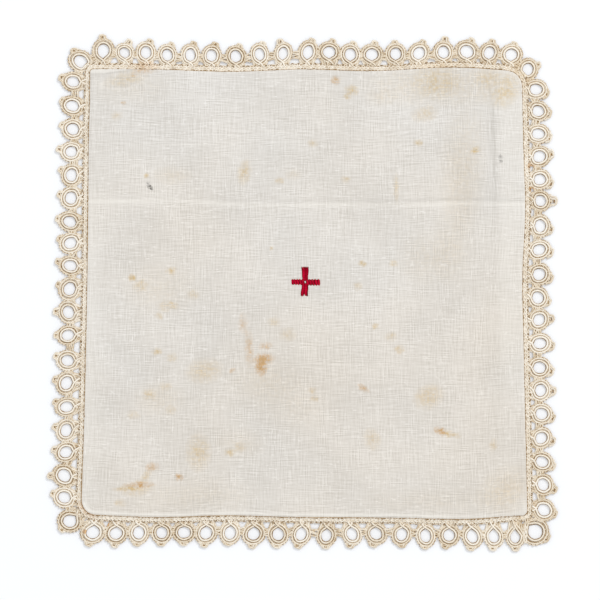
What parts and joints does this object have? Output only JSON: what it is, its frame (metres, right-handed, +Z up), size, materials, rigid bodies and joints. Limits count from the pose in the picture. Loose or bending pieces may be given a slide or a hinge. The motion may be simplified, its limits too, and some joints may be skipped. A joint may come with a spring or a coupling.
{
  "type": "chalice pall",
  "caption": "Small square linen cloth with an edging of thread rings and a red cross embroidered at its middle, laid over a chalice.",
  "frame": {"origin": "on the underside, at the middle of the whole outline", "axes": "+Z up out of the face with the cross, +Y towards the pall's top edge, +X to the right"},
  "size_m": [0.1747, 0.1772, 0.0023],
  "materials": {
    "linen": "bleached plain-weave linen, slightly yellowed and spotted with age",
    "lace_thread": "ecru mercerised cotton crochet thread, hard twisted",
    "red_thread": "red stranded embroidery cotton, satin stitched"
  },
  "bodies": {
    "root": {"linen_square": "linen", "lace_edging": "lace_thread", "cross_embroidery": "red_thread"}
  },
  "joints": []
}
